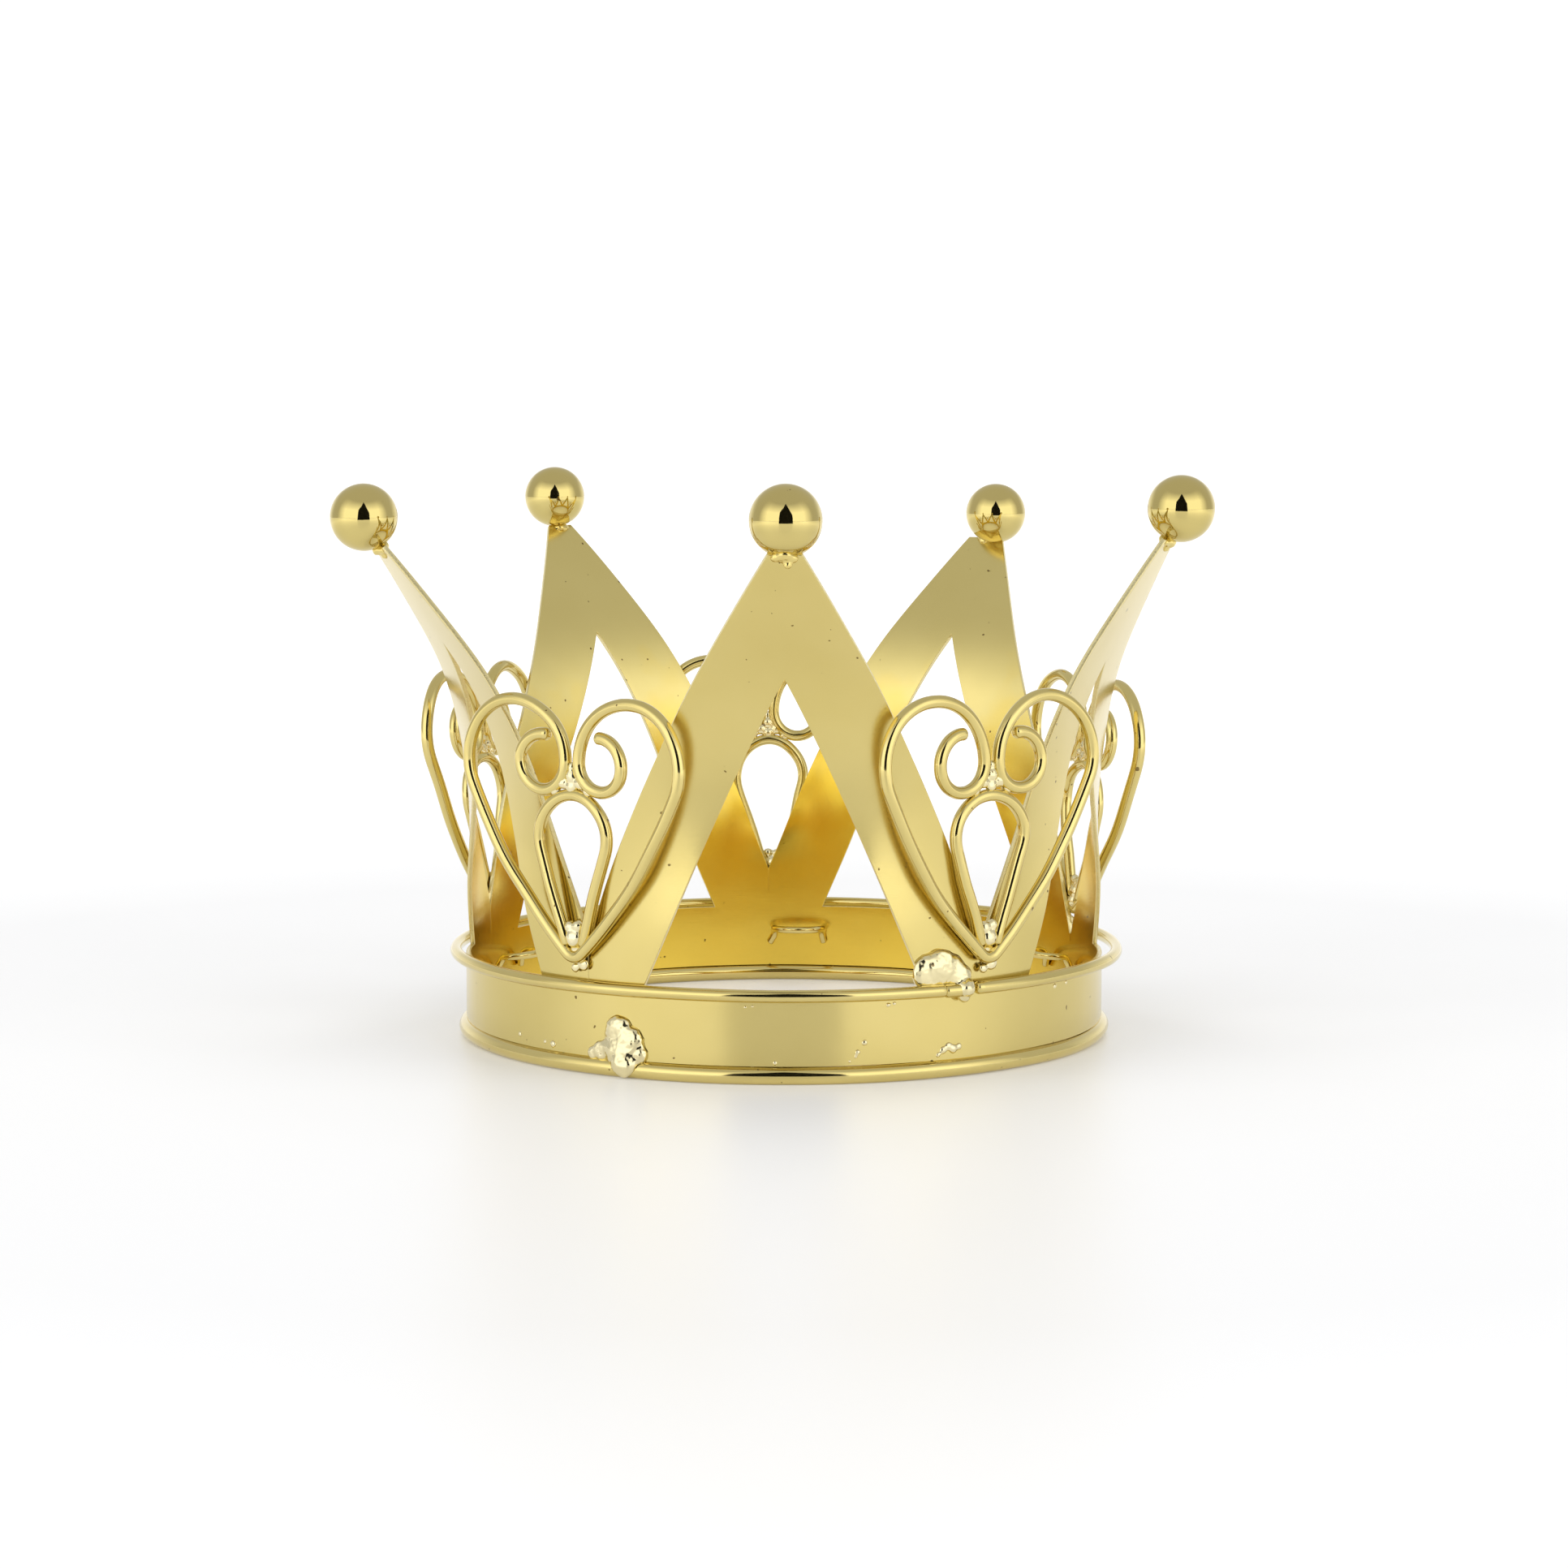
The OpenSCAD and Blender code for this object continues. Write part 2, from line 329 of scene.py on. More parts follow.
def gold(name, light, deep, rough, rough_swing, specks, grain):
    """Gold plate over worked metal.

    grain is 'sheet' or 'inside' for metal brushed round the crown, 'edge' for sawn, or None;
    'inside' also paints amber bounce light up to the points' bends.
    """
    n = Nodes(bpy.data.materials.new(name))
    n.shader.inputs["Metallic"].default_value = 1.0
    pos, arc, z = n.position()
    cloud = n.noise(pos, 0.09, 3.0)
    fine = n.noise(pos, 1.7, 4.0, 0.6)
    colour = n.ramp(cloud, [(0.35, deep), (0.65, light)])
    if grain == "inside":
        # Painted reflection: the amber of light bounced between the gold faces inside, painted from
        # the band up to the points' bends.
        uneven = n.math("MULTIPLY", n.math("SUBTRACT", cloud, 0.5), 0.5)
        up = n.math("ADD", n.math("DIVIDE", z, 60.0), uneven)
        amber = n.ramp(up, grey((0.10, 0.8), (0.42, 0.95), (0.70, 0.0)))
        colour = n.mix(amber, colour, PAINTED_BOUNCE_AMBER)
    pits = n.noise(pos, 1.25, 1.0, 0.3)
    pit_mask = n.math("GREATER_THAN", pits, 1.0 - specks)
    colour = n.mix(n.math("MULTIPLY", pit_mask, 0.8), colour, PIT_BROWN)
    n.link(colour, n.shader.inputs["Base Color"])
    swing = n.multiply_add(fine, rough_swing, rough - rough_swing / 2)
    height = fine
    strength = 0.03
    if grain in ("sheet", "inside"):
        brushed = n.combine(n.math("MULTIPLY", arc, 0.35), n.math("MULTIPLY", z, 9.0), 0.0)
        lines = n.noise(brushed, 1.0, 5.0, 0.65)
        height = n.math("ADD", lines, n.math("MULTIPLY", fine, 0.25))
        strength = 0.06
        swing = n.math("ADD", swing, n.multiply_add(lines, 0.10, -0.05))
    elif grain == "edge":
        sawn = n.combine(n.math("MULTIPLY", arc, 0.6), n.math("MULTIPLY", z, 3.2), 0.0)
        height = n.noise(sawn, 1.0, 6.0, 0.8)
        strength = 0.7
    n.link(swing, n.shader.inputs["Roughness"])
    normal = n.bump(height, strength, 0.05)
    dent = n.noise(pos, 0.16, 1.0)
    normal = n.bump(dent, 0.10, 0.35, normal)
    pit_height = n.math("MULTIPLY", pit_mask, -1.0)
    normal = n.bump(pit_height, 0.5, 0.06, normal)
    n.link(normal, n.shader.inputs["Normal"])
    return n.owner


SHEET_GOLD = gold("sheet_gold", (0.72, 0.59, 0.225), (0.695, 0.565, 0.205),
                  0.17, 0.03, 0.20, "sheet")
# The inside faces: gold with the painted amber reflection.
INNER_GOLD = gold("sheet_inside_gold", (0.75, 0.62, 0.24), (0.73, 0.60, 0.225),
                  0.20, 0.06, 0.21, "inside")
EDGE_GOLD = gold("sheet_edge_gold", (0.86, 0.76, 0.42), (0.80, 0.68, 0.34),
                 0.26, 0.10, 0.22, "edge")
WIRE_GOLD = gold("wire_gold", (0.74, 0.61, 0.24), (0.70, 0.57, 0.215),
                 0.09, 0.05, 0.205, None)
BALL_GOLD = gold("ball_gold", (0.66, 0.54, 0.205), (0.65, 0.53, 0.195),
                 0.05, 0.02, 0.19, None)
SOLDER_GOLD = gold("solder_gold", (0.88, 0.79, 0.50), (0.84, 0.74, 0.43),
                   0.15, 0.08, 0.23, None)
NECK_GOLD = gold("neck_solder_gold", (0.80, 0.66, 0.26), (0.72, 0.56, 0.18),
                 0.15, 0.08, 0.24, None)


# ---------------------------------------------------------------- the sheet
class Point:
    """One A-shaped point: where a place on the flat sheet ends up on the bent crown."""

    def __init__(self, name, foot_az, tip_az, lean_shift, apex, length):
        self.name, self.foot_az, self.tip_az = name, foot_az, tip_az
        self.apex, self.length = apex, length
        self.curve = [(SHEET_MID, 0.0)]
        for i in range(round(CURVE_LENGTH / CURVE_STEP)):
            v = i * CURVE_STEP
            lean = spline(LEAN, v) if v > LEAN[0][0] else 0.0
            lean = math.radians(lean + lean_shift * smooth((v - 20) / 35))
            r, z = self.curve[-1]
            self.curve.append((r + math.sin(lean) * CURVE_STEP, z + math.cos(lean) * CURVE_STEP))

    def centre_az(self, v):
        return self.foot_az + (self.tip_az - self.foot_az) * smooth((v - 15) / 50)

    def centre(self, v, turns=0):
        """Arc length from the front of the band to the point's middle, plus whole turns."""
        az = self.foot_az % 360 + self.centre_az(v) - self.foot_az
        return math.radians(az) * SHEET_MID + turns * TURN

    def centre_line(self, v):
        """Radius and height of the point's middle."""
        f = min(max(v / CURVE_STEP, 0), len(self.curve) - 1.001)
        k = int(f)
        t = f - k
        (r0, z0), (r1, z1) = self.curve[k:k + 2]
        return r0 * (1 - t) + r1 * t, z0 * (1 - t) + z1 * t

    def place(self, s, v):
        """s is arc length round the band from the front, v is distance up the sheet."""
        on_band = around(math.degrees(s / SHEET_MID), SHEET_MID, v)
        if v <= BEND_START:
            return on_band
        az = self.centre_az(v)
        u = (s - math.radians(az) * SHEET_MID + TURN / 2) % TURN - TURN / 2
        r, z = self.centre_line(v)
        bend = (1 - FLATTENING * smooth((v - BEND_START) / 34)) / SHEET_MID
        side = math.sin(bend * u) / bend
        depth = (1 - math.cos(bend * u)) / bend
        bent = outward(az) * (r - depth) + across(az) * side + Vector((0, 0, z))
        return on_band.lerp(bent, smooth((v - BEND_START) / 14))

    def outer(self, v):
        """Half width of the point; its sides bulge a little."""
        t = (v - 14) / 50
        return TIP_HALF + (64 - v) * SIDE_SLOPE + 0.9 * t * (1 - t)

    def inner(self, v):
        """Half width of the A opening."""
        return OPENING_HALF * max(self.apex - v, 0) / (self.apex - BAND_TOP)


class Sector:
    """One point and its share of the band, with the arc lengths where the metal ends."""

    def __init__(self, points, i):
        last = len(points) - 1
        self.point = points[i]
        self.before, self.turns_before = points[i - 1], -1 if i == 0 else 0
        self.after, self.turns_after = points[0 if i == last else i + 1], 1 if i == last else 0

    def left_mid(self, v):
        """Halfway to the point on the left."""
        return (self.point.centre(v) + self.before.centre(v, self.turns_before)) / 2

    def right_mid(self, v):
        return (self.point.centre(v) + self.after.centre(v, self.turns_after)) / 2

    def left_edge(self, v):
        return max(self.point.centre(v) - self.point.outer(v), self.left_mid(v))

    def right_edge(self, v):
        return min(self.point.centre(v) + self.point.outer(v), self.right_mid(v))


def between(a, b, n):
    return [a + (b - a) * i / n for i in range(n + 1)]


def grid(rows):
    """A patch of quads through rows of vertices."""
    wide = len(rows[0])
    faces = []
    for a in range(len(rows) - 1):
        for b in range(wide - 1):
            k = a * wide + b
            faces.append((k, k + 1, k + wide + 1, k + wide))
    return [v for row in rows for v in row], faces


def sector_patches(sector):
    p = sector.point
    left, middle, right = sector.left_edge, p.centre, sector.right_edge

    def patch(heights, columns):
        return grid([[p.place(s, v) for s in columns(v)] for v in heights])

    def band_columns(_):
        """The same columns at every height, from the middle of one foot to the next."""
        v = BAND_TOP
        opening = middle(v) - p.inner(v), middle(v) + p.inner(v)
        return ([sector.left_mid(v)] + between(left(v), opening[0], LEG_COLUMNS)
                + between(*opening, OPENING_COLUMNS)[1:]
                + between(opening[1], right(v), LEG_COLUMNS)[1:] + [sector.right_mid(v)])

    def left_leg(v):
        return between(left(v), middle(v) - p.inner(v), LEG_COLUMNS)

    def right_leg(v):
        return between(middle(v) + p.inner(v), right(v), LEG_COLUMNS)

    def tip(v):
        return (between(middle(v) - p.outer(v), middle(v), LEG_COLUMNS)
                + between(middle(v), middle(v) + p.outer(v), LEG_COLUMNS)[1:])

    legs = between(BAND_TOP, p.apex, LEG_ROWS)
    return [patch(between(SHEET_FOOT, BAND_TOP, BAND_ROWS), band_columns),
            patch(legs, left_leg), patch(legs, right_leg),
            patch(between(p.apex, p.length, TIP_ROWS), tip)]


def crown_sheet():
    points = [Point(*p) for p in POINTS]
    patches = []
    for i in range(len(points)):
        patches += sector_patches(Sector(points, i))
    obj = add_mesh("crown_sheet_plate", *joined(patches), [SHEET_GOLD, EDGE_GOLD, INNER_GOLD])
    bm = bmesh.new()
    bm.from_mesh(obj.data)
    bmesh.ops.remove_doubles(bm, verts=bm.verts, dist=0.02 * MM)
    bm.to_mesh(obj.data)
    bm.free()
    solid = obj.modifiers.new("thickness", "SOLIDIFY")
    solid.thickness = SHEET_T * MM
    solid.offset = 0
    solid.use_even_offset = True
    solid.material_offset_rim = 1
    # The inner shell takes the inside gold with its painted amber reflection.
    solid.material_offset = 2
    bevel = obj.modifiers.new("soft_edge", "BEVEL")
    bevel.width = 0.06 * MM
    bevel.segments = 2
    bevel.limit_method = "ANGLE"
    bevel.angle_limit = math.radians(50)
    obj.modifiers.new("shading", "WEIGHTED_NORMAL").keep_sharp = True
    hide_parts("crown_sheet")
    return points


# ---------------------------------------------------------------- rings
def wobble(p, amount, scale, seed):
    """A smooth hand-made unevenness at p."""
    q = p * scale + Vector((seed, seed * 0.7, 0))
    return Vector((noise.noise(q), noise.noise(q + Vector((7, 0, 0))),
                   noise.noise(q + Vector((0, 9, 0))))) * amount


def ring_path(centre, r, z, start, stop, n, seed):
    """n steps round the crown from azimuth start to stop."""
    pts = []
    for i in range(n + 1):
        az = start + (stop - start) * i / n
        p = around(az, r, z) + centre
        pts.append(p + wobble(p, 0.10, 0.06, seed))
    return pts


def rings():
    centre = Vector((0.3, 0.8, 0))     # the top ring sits a little back and to the right
    gap = 31.5                         # azimuth of its butt joint
    main_path = ring_path(centre, TOP_RING_R, TOP_RING_Z, gap + 0.9, gap + 360 - 5.6, 420, 3.0)
    stub_path = ring_path(centre, 41.62, 10.32, gap - 5.0, gap - 1.1, 14, 3.4)
    main = tube(main_path, TOP_WIRE, 20)
    stub = tube(stub_path, TOP_WIRE * 1.04, 20)
    obj = add_mesh("top_ring_wire", *joined([main, stub]), [WIRE_GOLD])
    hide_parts("top_ring")
    path = ring_path(Vector((0, 0, 0)), BOTTOM_RING_R, BOTTOM_RING_Z, 0, 360, 480, 8.0)[:-1]
    obj = add_mesh("bottom_ring_wire", *tube(path, BOTTOM_WIRE, 24, closed=True), [WIRE_GOLD])
    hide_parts("bottom_ring")


# ---------------------------------------------------------------- hearts
LOBE = (8.1, 22.35, 7.1)      # centre and radius of a heart's lobe, measured from its foot
CURL_R = 3.2
LEG = (-36.0, 41.0)           # centre of the long leg arc
FOOT_R = 1.6
DROP = (0.0, 13.75, 4.9)      # centre and radius of the drop's head
DROP_TURN = 18                # degrees past level where the head runs into the straight legs


def arc(cx, cy, r, a0, a1, step=0.45):
    """Points on an arc from angle a0 to a1, about step apart."""
    n = max(3, int(abs(math.radians(a1 - a0)) * r / step))
    return [(cx + r * math.cos(math.radians(a0 + (a1 - a0) * i / n)),
             cy + r * math.sin(math.radians(a0 + (a1 - a0) * i / n))) for i in range(n + 1)]


def heart_half(curl_r, curl_turn):
    """The right half of a heart's wire: from its foot up the leg, over the lobe, into the curl."""
    leg_r = math.hypot(LOBE[0] - LEG[0], LOBE[1] - LEG[1]) + LOBE[2]
    lobe_start = math.degrees(math.atan2(LOBE[1] - LEG[1], LOBE[0] - LEG[0]))
    foot_y = LEG[1] - math.sqrt((leg_r - FOOT_R) ** 2 - LEG[0] ** 2)
    foot_a = math.degrees(math.atan2(foot_y - LEG[1], -LEG[0]))
    pts = arc(0, foot_y, FOOT_R, -90, foot_a, 0.2)
    pts += arc(LEG[0], LEG[1], leg_r, foot_a, lobe_start)[1:]
    pts += arc(LOBE[0], LOBE[1], LOBE[2], lobe_start, 180)[1:]
    pts += arc(LOBE[0] - LOBE[2] + curl_r, LOBE[1], curl_r, 180, 180 + curl_turn, 0.3)[1:]
    return pts


def drop_outline():
    head = arc(*DROP, -DROP_TURN, 180 + DROP_TURN)
    inward, down = math.sin(math.radians(DROP_TURN)), math.cos(math.radians(DROP_TURN))
    legs = []
    for (x, y), side in ((head[0], 1), (head[-1], -1)):
        legs.append([(x - side * inward * d, y - down * d) for d in (11.2, 10, 8, 6, 4, 2, 1)])
    return legs[0] + head + legs[1][::-1]


def heart_place(az, lean, tilt, stretch, lift, radius):
    """A function that takes a place on the flat heart to its place on the crown."""
    lean, tilt = math.radians(lean), math.radians(tilt)
    up = outward(az) * math.sin(lean) + Vector((0, 0, math.cos(lean)))
    side = across(az)
    base = around(az, radius, 13.3 + lift)

    def place(p, forward=0.0):
        u = p[0] * stretch[0]
        w = p[1] * stretch[1]
        u, w = u * math.cos(tilt) + w * math.sin(tilt), w * math.cos(tilt) - u * math.sin(tilt)
        return base + side * u + up * w + outward(az) * forward
    return place


# Hearts: name, azimuth, lean, tilt, stretch across and up, lift, radius, and the turns of the left
# and right curls.
HEARTS = [
    ("front_left", -36.6, 1.4, 0.4, (1.037, 1.015), 0.54, 41.0, (280, 272)),
    ("front_right", 35.3, 1.4, -0.4, (1.01, 1.025), 0.65, 41.2, (272, 280)),
    ("back_left", -111, 3.5, 0.5, (1.0, 1.045), 0.3, 40.7, (276, 270)),
    ("back_right", 111, 2.4, -2.0, (1.0, 1.015), -0.1, 40.7, (270, 278)),
    ("back", 182.2, 6.5, 1.4, (0.95, 1.04), 0.3, 40.8, (276, 270)),
]


def hearts():
    places = {}
    for k, (name, az, lean, tilt, stretch, lift, radius, turns) in enumerate(HEARTS):
        place = heart_place(az, lean, tilt, stretch, lift, radius)
        places[name] = place
        left = [(-x, y) for x, y in heart_half(CURL_R * 1.02, turns[0])]
        right = heart_half(CURL_R * 0.98, turns[1])
        outline = left[::-1] + right[1:]
        pts = []
        for p in outline:
            q = place(p)
            pts.append(q + wobble(q, 0.22, 0.13, 11.0 + 5 * k))
        obj = add_mesh("heart_wire_" + name, *tube(pts, HEART_WIRE, 18), [WIRE_GOLD])
        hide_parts("heart_scroll_" + name)
        pts = []
        for p in drop_outline():
            q = place(p)
            pts.append(q + wobble(q, 0.30, 0.16, 31.0 + 3 * k))
        obj = add_mesh("drop_wire_" + name, *tube(pts, HEART_WIRE * 0.97, 18), [WIRE_GOLD])
        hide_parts("heart_drop_" + name)
    return places


# ---------------------------------------------------------------- balls and eyelets
def balls():
    centres = {}
    for name, *_ in POINTS:
        low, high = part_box("ball_" + name)
        c = (Vector(low) + Vector(high)) / 2 / MM
        centres[name] = c          # millimetres, like all the helpers
        bm = bmesh.new()
        bmesh.ops.create_icosphere(bm, subdivisions=6, radius=BALL_R)
        verts = [v.co.copy() for v in bm.verts]
        faces = [tuple(v.index for v in f.verts) for f in bm.faces]
        bm.free()
        verts = [c + v * (1 + 0.0025 * noise.noise(v * 0.5 + c)) for v in verts]
        obj = add_mesh("ball_bead_" + name, verts, faces, [BALL_GOLD])
        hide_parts("ball_" + name)
    return centres


# Eyelets for hairpins, inside the band: name and azimuth.
EYELETS = [("front_left", -36), ("front_right", 36), ("back_left", -112), ("back_right", 112),
           ("back", 177)]


def eyelets():
    for name, az in EYELETS:
        out, side = outward(az), across(az)
        base = out * (SHEET_MID - SHEET_T / 2 - EYELET_WIRE - 0.06)
        pts = [base - side * 3.4 + Vector((0, 0, 5.4)) - out * 0.1,
               base - side * 3.15 + Vector((0, 0, 6.4)) - out * 0.35,
               base - side * 3.2 + Vector((0, 0, 7.1)) - out * 0.8]
        for t in between(0, math.pi, 18):
            pts.append(base - out * (1.2 + 3.0 * math.sin(t)) - side * 3.3 * math.cos(t)
                       + Vector((0, 0, 7.3 + 0.2 * math.sin(t))))
        pts += [base + side * 3.2 + Vector((0, 0, 7.1)) - out * 0.8,
                base + side * 3.3 + Vector((0, 0, 6.3)) - out * 0.35,
                base + side * 3.9 + Vector((0, 0, 5.3)) - out * 0.1]
        obj = add_mesh("eyelet_wire_" + name, *tube(pts, EYELET_WIRE, 14), [WIRE_GOLD])
        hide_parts("eyelet_" + name)


# ---------------------------------------------------------------- solder
# Drops spattered on the band: azimuth, height and radius.
SPATTER = [(13.4, 4.7, 0.42), (12.2, 3.6, 0.40), (11.9, 3.1, 0.30), (10.9, 2.6, 0.26),
           (27.6, 3.2, 0.5), (28.6, 3.6, 0.55), (29.5, 3.3, 0.6), (30.6, 3.5, 0.5),
           (26.6, 2.7, 0.35), (-6.4, 9.0, 0.3), (-5.2, 9.1, 0.25), (17.5, 9.0, 0.35),
           (18.6, 9.1, 0.3), (54, 8.9, 0.4), (58, 9.0, 0.4), (-43, 2.9, 0.5), (-45, 3.0, 0.35),
           (-52, 3.3, 0.4), (-1.5, 2.5, 0.35)]
# Lumps at the rings' joints: azimuth, distance from the axis, height, radius, squash, and the
# azimuth that they are squashed along.
TOP_JOINT = [(25.0, 40.2, 12.5, 2.4, 0.36, 25), (28.4, 40.2, 12.5, 2.3, 0.4, 28),
             (26.8, 40.3, 12.9, 2.4, 0.42, 27), (30.4, 40.4, 11.8, 1.6, 0.6, 30),
             (30.9, 41.2, 10.5, 1.15, 1.0, 31), (30.7, 40.9, 9.6, 0.9, 0.8, 31),
             (22.9, 40.2, 11.6, 0.7, 0.8, 23)]
BOTTOM_JOINT = [(-28.6, 40.0, 5.5, 1.9, 0.5, -28), (-26.8, 40.1, 4.3, 2.0, 0.5, -27),
                (-27.8, 40.2, 3.0, 2.3, 0.5, -28), (-25.2, 40.1, 2.9, 1.4, 0.6, -25),
                (-30.0, 40.1, 3.2, 1.6, 0.45, -30), (-32.0, 40.1, 2.9, 1.3, 0.4, -32),
                (-33.8, 40.1, 2.6, 0.95, 0.4, -34), (-27.2, 40.7, 1.8, 1.7, 0.6, -27),
                (-30.6, 40.0, 5.0, 0.7, 0.5, -30)]


def neck_lumps(points, ball_centres):
    lumps = []
    for p in points:
        tip = p.place(math.radians(p.centre_az(p.length)) * SHEET_MID, p.length)
        d = (ball_centres[p.name] - tip).normalized()
        side = across(p.tip_az)
        lumps += [(tip - d * 0.3, 1.15, 0.7, d), (tip + side * 1.0 - d * 0.5, 0.6, 0.9, d),
                  (tip - side * 1.1 - d * 0.4, 0.6, 0.9, d),
                  (tip - d * 1.3 + side * 0.3, 0.5, 0.9, d)]
    return lumps


def cleft_lumps(place, out):
    """Between a heart's two curls and on the head of its drop."""
    spots = [(0.0, 20.9, 0.85), (0.0, 19.6, 0.8), (-2.4, 19.2, 0.75), (2.4, 19.3, 0.75),
             (-1.2, 20.1, 0.8), (1.2, 20.1, 0.8), (0.0, 22.0, 0.55)]
    return [(place((x, y)), r, 0.8, out) for x, y, r in spots]


def foot_lumps(place, out):
    """Where the legs of a drop end in the heart's foot, and behind the foot against the sheet."""
    return [(place((0.0, 2.2)), 1.15, 0.8, out), (place((0.5, 3.6)), 0.75, 0.8, out),
            (place((-0.6, 3.4)), 0.8, 0.8, out), (place((0.0, 0.9), -0.45), 0.9, 0.7, out),
            (place((0.9, -0.9), -0.55), 0.8, 0.5, out),
            (place((-0.3, -1.4), -0.5), 0.6, 0.6, out)]


def joint_lumps(rows):
    return [(around(az, r, z), size, squash, outward(axis))
            for az, r, z, size, squash, axis in rows]


def solder(points, ball_centres, places):
    clefts, feet = [], []
    for name, az, *_ in HEARTS:
        clefts += cleft_lumps(places[name], outward(az))
        feet += foot_lumps(places[name], outward(az))
    feet += [(around(az, 39.95, z), r, 0.6, outward(az)) for az, z, r in SPATTER]
    # Piece, node it replaces, lumps, material, voxel, roughness, seed and smoothing.
    for name, node, *args in (
            ("ball_neck_solder", "solder_ball_necks", neck_lumps(points, ball_centres),
             NECK_GOLD, 0.12, 0.05, 2.0, 14),
            ("heart_cleft_solder", "solder_heart_clefts", clefts, SOLDER_GOLD, 0.11, 0.03, 5.0, 14),
            ("heart_foot_solder", "solder_heart_feet", feet, SOLDER_GOLD, 0.11, 0.03, 9.0, 14),
            ("top_ring_joint_solder", "solder_top_ring_joint", joint_lumps(TOP_JOINT),
             SOLDER_GOLD, 0.12, 0.04, 13.0, 40),
            ("bottom_ring_joint_solder", "solder_bottom_ring_joint", joint_lumps(BOTTOM_JOINT),
             SOLDER_GOLD, 0.12, 0.05, 17.0, 34)):
        obj = blob(name, *args)
        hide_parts(node)


# ---------------------------------------------------------------- studio
ROOM, LIGHTS, PAPER = 0.62, 0.95, 0.45      # brightness of the world's parts


def world_light():
    """A dim room with two wide soft lights either side of the camera and white paper behind."""
    n = Nodes(bpy.data.worlds.new("studio"))
    bpy.context.scene.world = n.owner
    split = n.add("ShaderNodeSeparateXYZ")
    n.link(n.add("ShaderNodeTexCoord").outputs["Generated"], split.inputs[0])
    x, y, z = split.outputs
    # side runs from 0 at the front to 1 at the back, height from 0 straight down to 1 straight up.
    side = n.math("ABSOLUTE", n.math("ARCTAN2", x, n.math("MULTIPLY", y, -1.0)))
    side = n.math("DIVIDE", side, math.pi)
    height = n.multiply_add(z, 0.5, 0.5)
    across_lights = n.ramp(side, grey((0.0, 0.85), (0.10, 1.0), (0.34, 1.0), (0.52, 0.0)))
    up_lights = n.ramp(height, grey((0.50, 1.0), (0.70, 1.0), (0.90, 0.0)))
    lights = n.math("MULTIPLY", n.math("MULTIPLY", across_lights, up_lights), LIGHTS)
    behind = n.ramp(side, grey((0.66, 0.0), (0.80, 1.0)))
    low = n.ramp(height, grey((0.58, 1.0), (0.72, 0.0)))
    paper = n.math("MULTIPLY", n.math("MULTIPLY", behind, low), PAPER)
    total = n.math("ADD", n.math("ADD", lights, paper), ROOM)
    background = n.tree.nodes["Background"]
    background.inputs["Color"].default_value = (1, 1, 1, 1)
    n.link(total, background.inputs["Strength"])


def floor_sheet():
    """White table whose emission paints light and shade: a painted shadow round the crown, a
    painted pool of light inside it, and brightness rising out to white paper.
    """
    mesh = bpy.data.meshes.new("floor")
    mesh.from_pydata([(-3, -3, 0), (3, -3, 0), (3, 9, 0), (-3, 9, 0)], [], [(0, 1, 2, 3)])
    floor = bpy.data.objects.new("floor", mesh)
    bpy.context.collection.objects.link(floor)
    n = Nodes(bpy.data.materials.new("floor_white_painted_light"))
    n.shader.inputs["Base Color"].default_value = (0.78, 0.78, 0.785, 1)
    n.shader.inputs["Roughness"].default_value = 0.35
    n.shader.inputs["Emission Color"].default_value = (1, 1, 1, 1)
    length = n.add("ShaderNodeVectorMath", operation="LENGTH")
    n.link(n.add("ShaderNodeTexCoord").outputs["Object"], length.inputs[0])
    # Painted light and shade: emission by distance from the crown's axis. It is brighter inside the
    # bottom ring, dim round the crown as a painted shadow, and rises to white far off.
    painted_floor_light = n.ramp(length.outputs["Value"],
                  grey((0.036, 0.20), (0.044, 0.08), (0.09, 0.10), (0.15, 0.09), (0.45, 0.42)))
    n.link(painted_floor_light, n.shader.inputs["Emission Strength"])
    mesh.materials.append(n.owner)


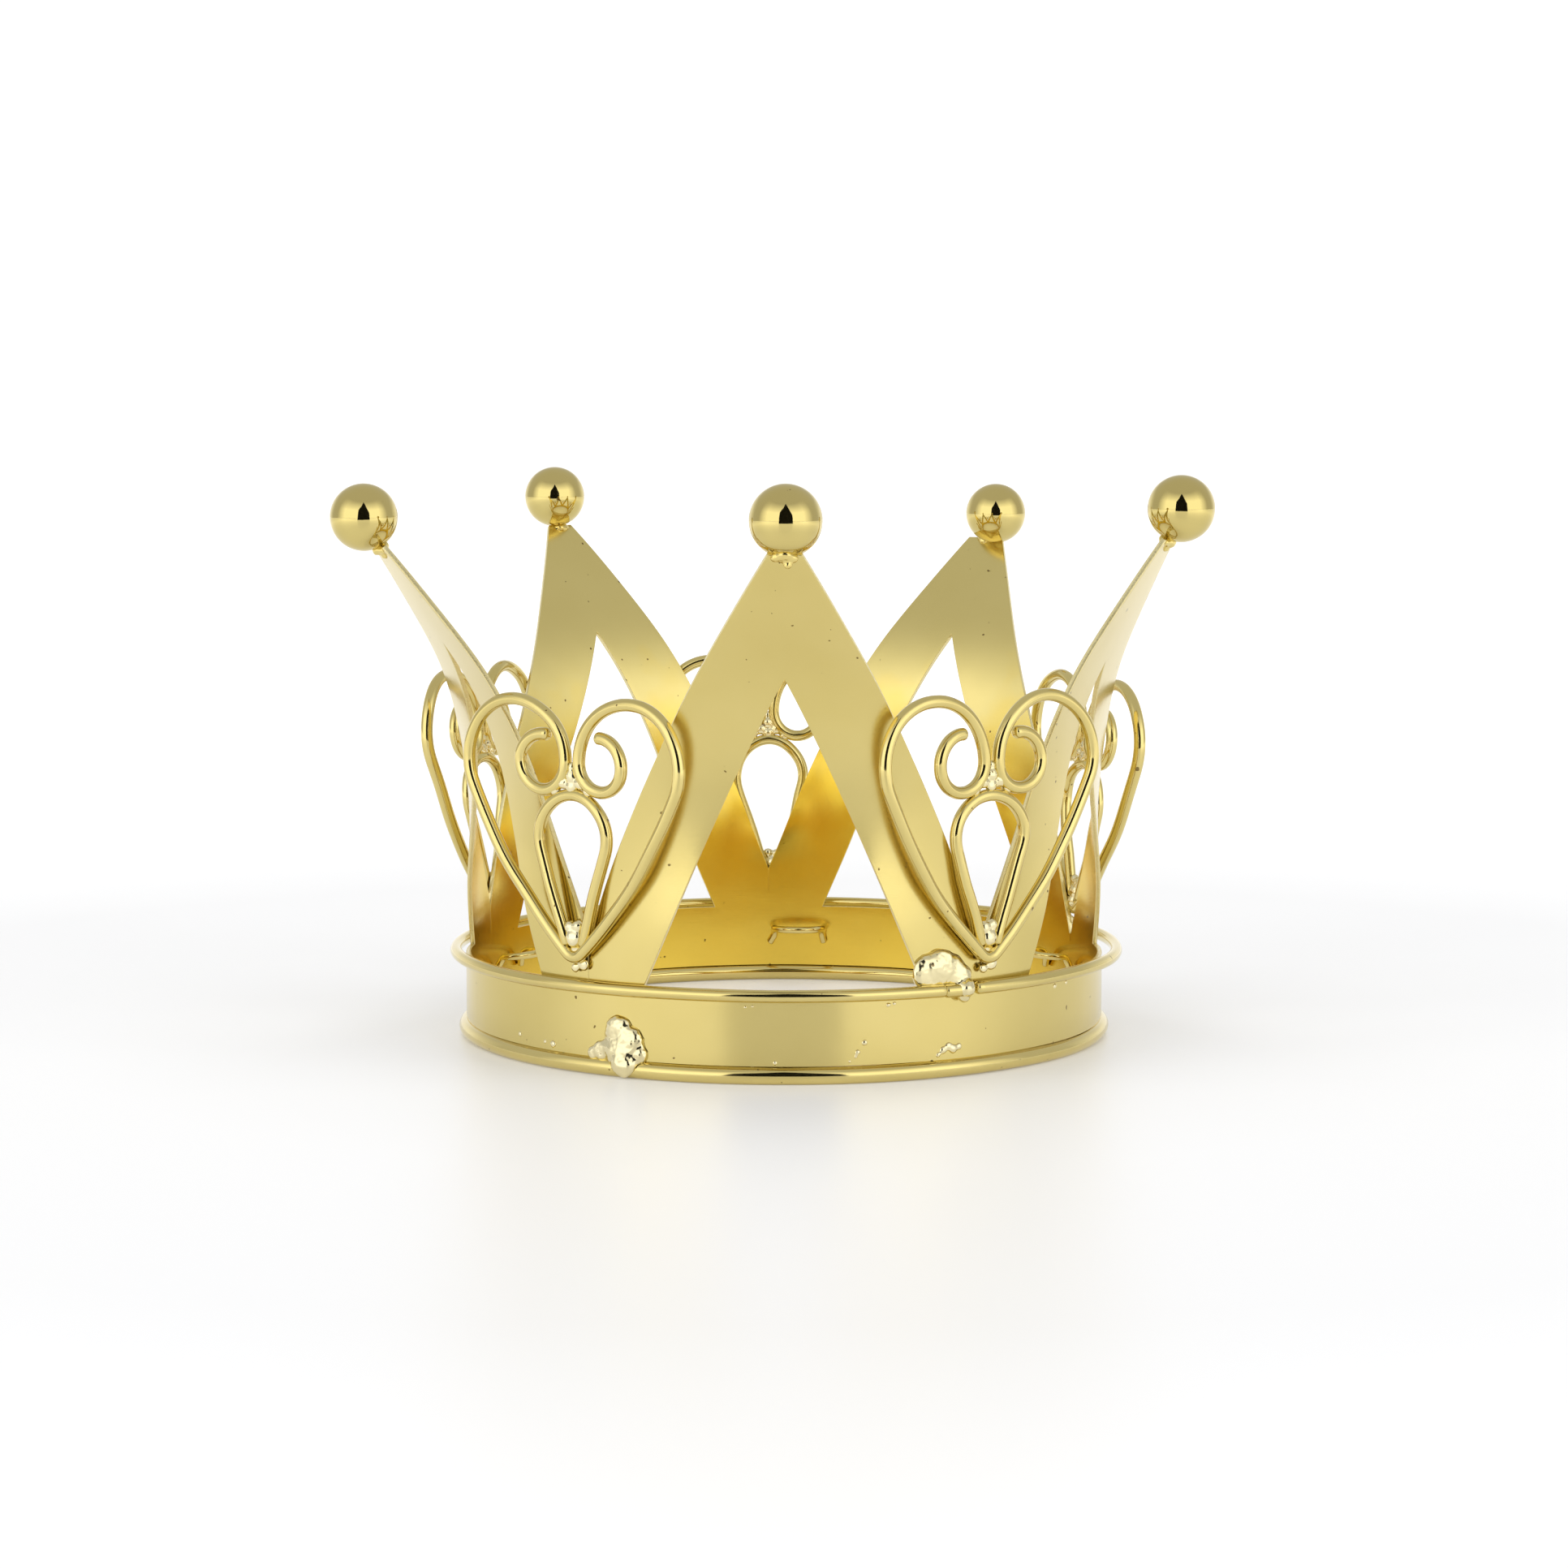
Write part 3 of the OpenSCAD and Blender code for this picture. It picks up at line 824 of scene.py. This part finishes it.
def dark_card():
    """What stands at the camera: a dark pointed shape that the bright metal mirrors."""
    outline = [(-0.17, -0.08), (0.17, -0.08), (0.155, 0.20), (0.10, 0.33), (0.0, 0.64),
               (-0.06, 0.42), (-0.145, 0.27)]
    mesh = bpy.data.meshes.new("camera_card")
    mesh.from_pydata([(x, 0, z) for x, z in outline], [], [tuple(range(len(outline)))])
    obj = bpy.data.objects.new("camera_card", mesh)
    obj.location = (0, -0.45, 0)
    obj.visible_camera = False
    obj.visible_diffuse = False
    obj.visible_shadow = False
    bpy.context.collection.objects.link(obj)
    n = Nodes(bpy.data.materials.new("card_black"))
    n.shader.inputs["Base Color"].default_value = (0.01, 0.01, 0.01, 1)
    n.shader.inputs["Specular IOR Level"].default_value = 0.0
    n.shader.inputs["Roughness"].default_value = 1.0
    mesh.materials.append(n.owner)


def softbox(name, location, target, size, power):
    """A wide lamp that shades the scene but isn't mirrored; the world's lights are."""
    light = bpy.data.lights.new(name, "AREA")
    light.shape = "RECTANGLE"
    light.size, light.size_y = size
    light.energy = power
    obj = bpy.data.objects.new(name, light)
    obj.location = location
    obj.rotation_euler = (Vector(target) - Vector(location)).to_track_quat("-Z", "Y").to_euler()
    obj.visible_glossy = False
    bpy.context.collection.objects.link(obj)


def camera():
    cam = bpy.data.cameras.new("camera")
    cam.sensor_width = 36
    cam.lens = 78.77
    obj = bpy.data.objects.new("camera", cam)
    elevation = math.radians(5.527)
    distance = 0.43166
    target = Vector((0, 0, 0.030903))
    obj.location = target + Vector((0, -math.cos(elevation), math.sin(elevation))) * distance
    obj.rotation_euler = (math.pi / 2 - elevation, 0, 0)
    bpy.context.collection.objects.link(obj)
    bpy.context.scene.camera = obj


def studio():
    bpy.context.scene.view_settings.view_transform = "Standard"
    world_light()
    floor_sheet()
    dark_card()
    softbox("softbox_left", (-0.9, -0.55, 0.45), (0, 0, 0.03), (0.5, 0.8), 3)
    softbox("softbox_right", (0.95, -0.5, 0.4), (0, 0, 0.03), (0.5, 0.8), 3)
    softbox("softbox_top", (0, 0.1, 1.1), (0, 0, 0.0), (0.8, 0.6), 3)
    camera()


sheet_points = crown_sheet()
rings()
heart_places = hearts()
ball_centres = balls()
eyelets()
solder(sheet_points, ball_centres, heart_places)
studio()
